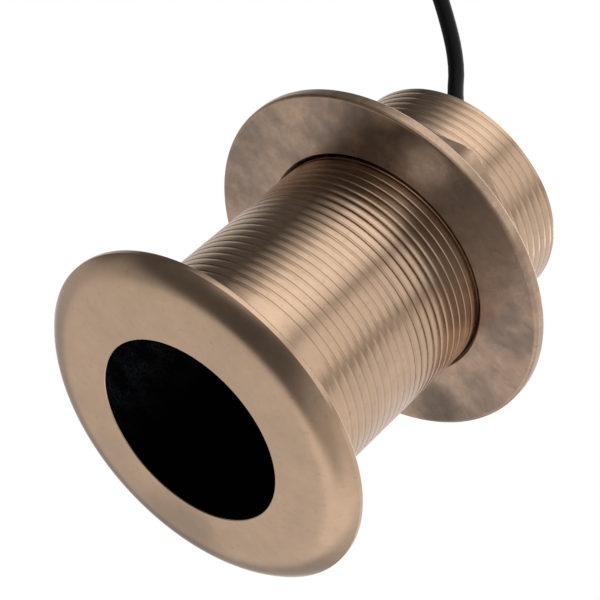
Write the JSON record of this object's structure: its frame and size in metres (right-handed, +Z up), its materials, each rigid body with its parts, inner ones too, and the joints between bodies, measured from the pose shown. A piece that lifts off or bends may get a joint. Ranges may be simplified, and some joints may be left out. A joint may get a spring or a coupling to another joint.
{
  "type": "through-hull sonar transducer",
  "caption": "Bronze through-hull sonar transducer: domed mushroom head with a black acoustic face, threaded stem, flanged hex hull nut, and a coiled cable with a plug.",
  "frame": {"origin": "centre of the flat acoustic face, at the bottom of the head, without the cable, its coil and its plug", "axes": "+Z up the stem, from the face to the cable; the cable leans towards -X as it leaves the stem"},
  "size_m": [0.2319, 0.089, 0.1327],
  "materials": {
    "bronze": "satin as-turned bronze, tan pink, light tarnish mottling",
    "urethane": "black moulded urethane, satin",
    "silvered_ceramic": "fired silver on ceramic",
    "cork": "cork, matt",
    "potting_resin": "black potting resin, satin",
    "ferrite": "sintered ferrite, matt",
    "nylon": "natural nylon",
    "copper_wire": "enamelled copper",
    "tinned_wire": "tinned copper",
    "thermistor_bead": "epoxy bead",
    "circuit_board": "solder mask",
    "chip": "moulded",
    "film_capacitor": "dipped",
    "resistor": "lacquered",
    "cable_jacket": "black cable jacket, satin",
    "seal_rubber": "black rubber",
    "tie_strap": "black nylon",
    "nickel": "nickel plate, satin",
    "pin_brass": "plated",
    "plug_insert": "moulded",
    "red_insulation": "wire insulation",
    "black_insulation": "wire insulation",
    "white_insulation": "wire insulation",
    "blue_insulation": "wire insulation",
    "brown_insulation": "wire insulation"
  },
  "bodies": {
    "root": {"housing": "bronze", "hull_nut": "bronze", "acoustic_window": "urethane", "piezo_ceramic": "silvered_ceramic", "isolation_sleeve": "cork", "backing_disc": "cork", "signal_lead": "red_insulation", "ground_lead": "black_insulation", "thermistor": "thermistor_bead", "thermistor_lead_1": "tinned_wire", "thermistor_lead_2": "tinned_wire", "core_half_lower": "ferrite", "core_half_upper": "ferrite", "bobbin": "nylon", "primary_winding": "copper_wire", "secondary_winding": "copper_wire", "core_bolt": "nylon", "core_nut": "nylon", "potting_lower": "potting_resin", "potting_upper": "potting_resin", "circuit_board": "circuit_board", "id_chip": "chip", "tuning_capacitor": "film_capacitor", "damping_resistor": "resistor", "cable_tail": "cable_jacket", "core_blue": "blue_insulation", "core_black": "black_insulation", "core_white": "white_insulation", "core_brown": "brown_insulation", "shield_braid": "tinned_wire", "cable_seal": "seal_rubber", "cable_run": "cable_jacket", "cable_coil": "cable_jacket", "cable_lead": "cable_jacket", "coil_tie_1": "tie_strap", "coil_tie_2": "tie_strap", "plug_body": "cable_jacket", "plug_shell": "nickel", "plug_insert": "plug_insert", "plug_pin_1": "pin_brass", "plug_pin_2": "pin_brass", "plug_pin_3": "pin_brass", "plug_pin_4": "pin_brass", "plug_pin_5": "pin_brass", "plug_seal": "seal_rubber"}
  },
  "joints": []
}
